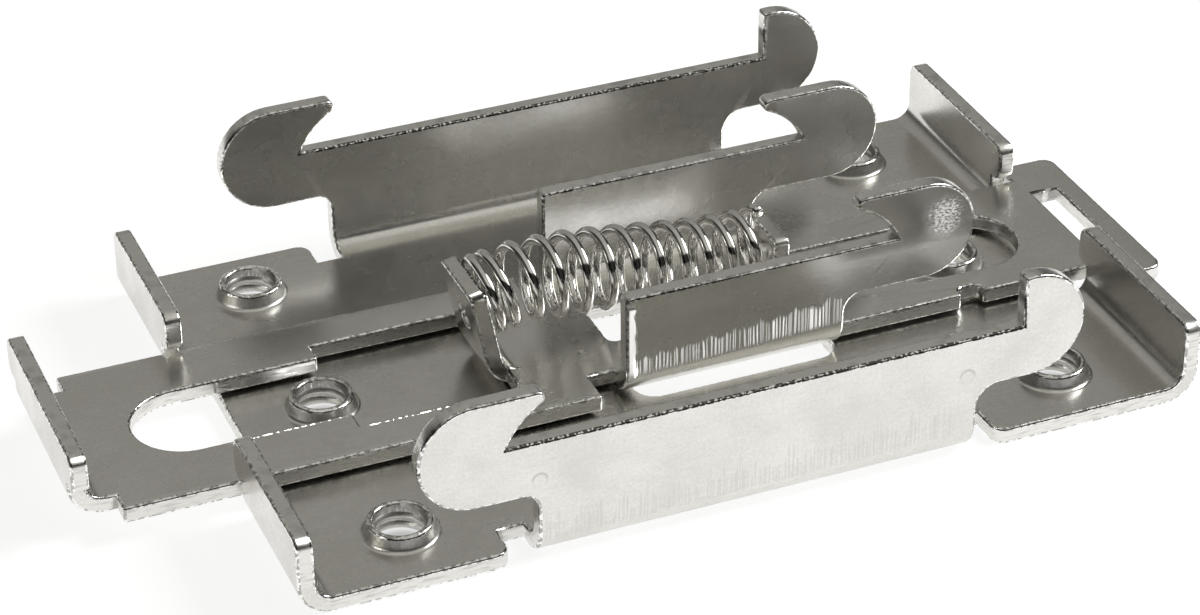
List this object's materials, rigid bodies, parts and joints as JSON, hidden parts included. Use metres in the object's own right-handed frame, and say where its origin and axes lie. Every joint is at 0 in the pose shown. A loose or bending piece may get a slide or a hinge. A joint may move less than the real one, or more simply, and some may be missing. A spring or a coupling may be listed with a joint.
{
  "type": "din rail mounting bracket",
  "caption": "Folded plated-steel bracket that clips onto a 35 mm mounting rail: hooked base plate with tapped collars, and a sprung sliding latch with hooks and a pull lip.",
  "frame": {"origin": "middle of the tapped-hole pattern on the base plate's flat underside, where the carried device sits", "axes": "+X along the latch's opening travel, +Z out of the underside's back toward the rail, +Y to the rear along the rail"},
  "size_m": [0.0799, 0.0422, 0.0134],
  "materials": {
    "plated_sheet": "bright nickel plating on cold-rolled steel sheet, soft reflections, sheared edges rougher",
    "plated_latch": "bright nickel plating, die scratches low on the walls",
    "spring_wire": "bright drawn spring wire, nickel plated"
  },
  "bodies": {
    "base": {"base_plate": "plated_sheet", "spring": "spring_wire"},
    "latch": {"latch_slider": "plated_latch"}
  },
  "joints": [
    {"name": "latch_slide", "type": "slide", "parent": "base", "child": "latch", "axis": [1, 0, 0], "range_m": [0, 0.008], "stiffness_N_per_m": 1960, "springref_m": -0.006, "deforming": ["spring"]}
  ]
}
